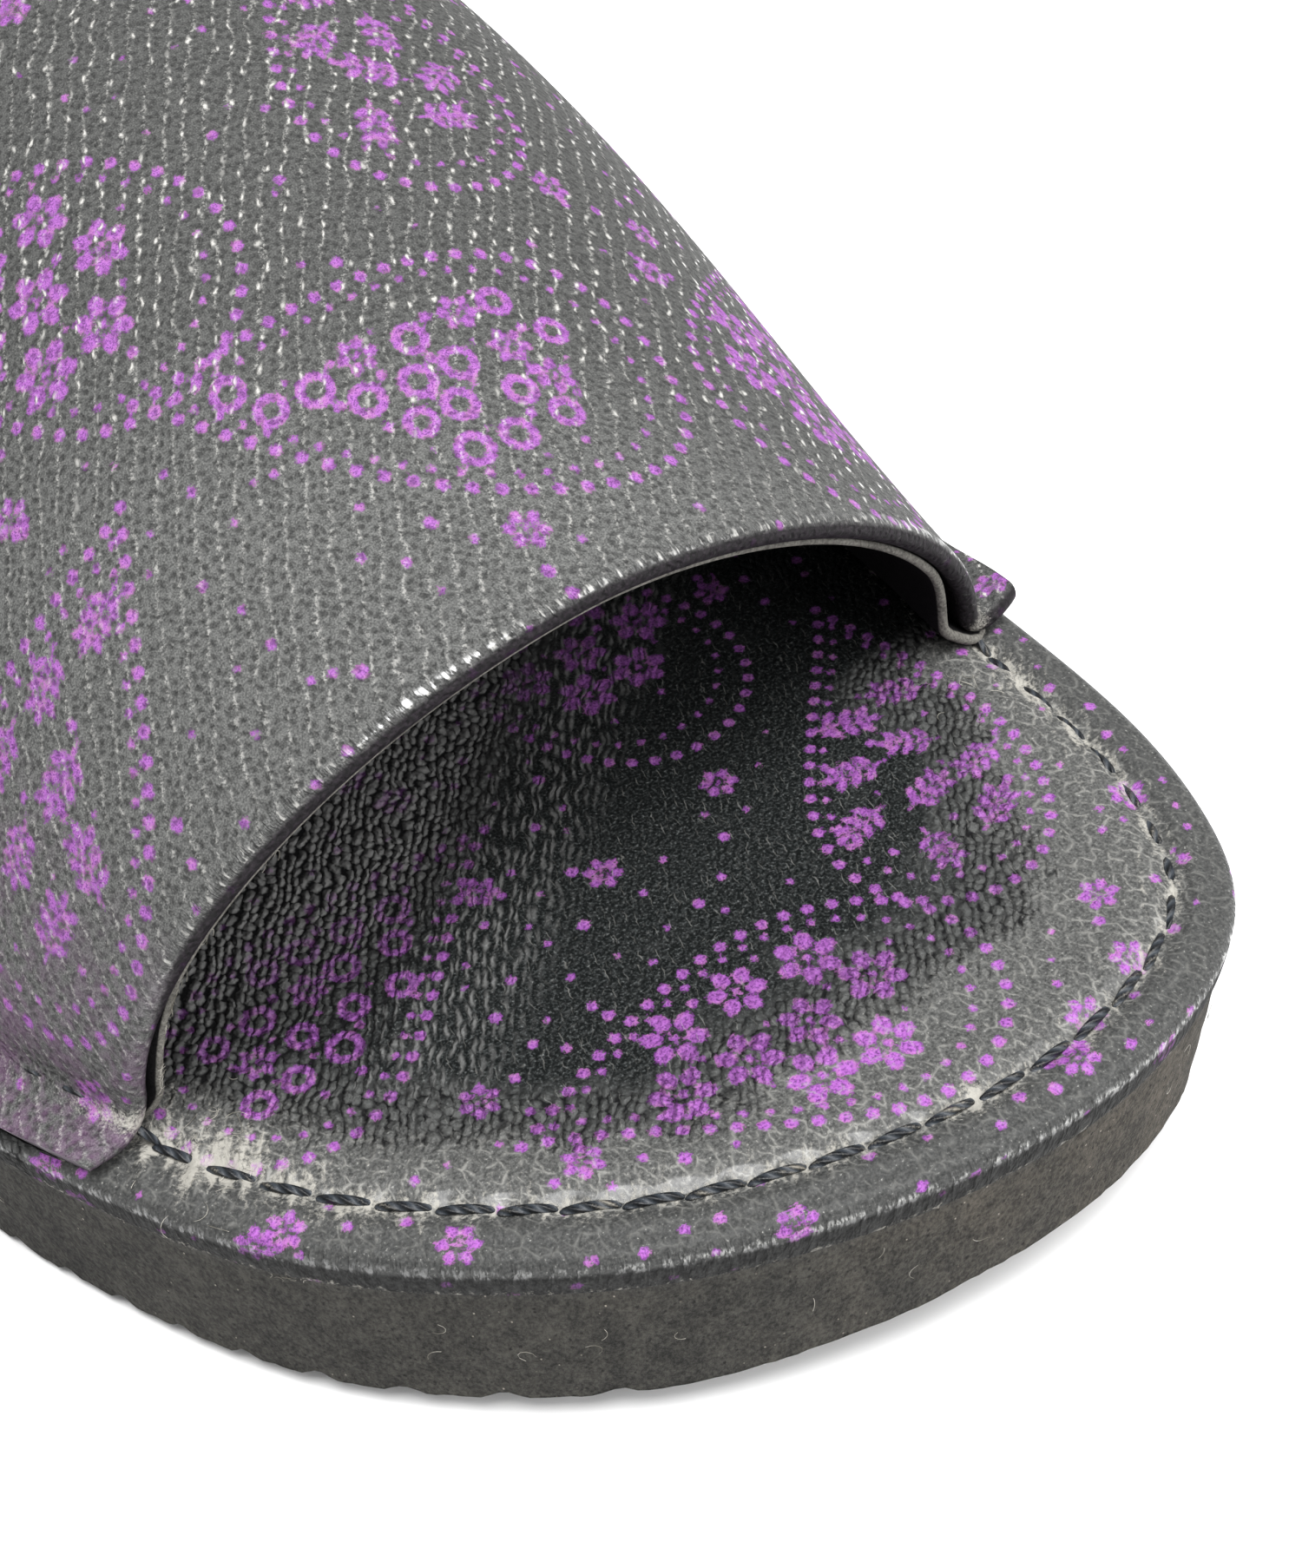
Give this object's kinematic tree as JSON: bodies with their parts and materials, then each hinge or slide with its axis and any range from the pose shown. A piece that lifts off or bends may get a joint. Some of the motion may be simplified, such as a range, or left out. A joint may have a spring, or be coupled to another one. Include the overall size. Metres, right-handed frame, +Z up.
{
  "type": "shower sandal",
  "caption": "Slip-on shower sandal for the right foot: grooved foam sole, wrapped footbed with a rounded lip, and one wide arched strap turned out and stitched down at its sides.",
  "frame": {"origin": "on the floor, under the middle of the sandal's plan box", "axes": "+Y from toe to heel, +X from the outer to the inner side of the foot, +Z up from the floor"},
  "size_m": [0.1104, 0.285, 0.0799],
  "materials": {
    "foam": "matte",
    "footbed_cloth": "satin",
    "strap_cloth": "satin"
  },
  "bodies": {
    "root": {"outsole": "foam", "footbed": "footbed_cloth", "upper": "strap_cloth"}
  },
  "joints": []
}
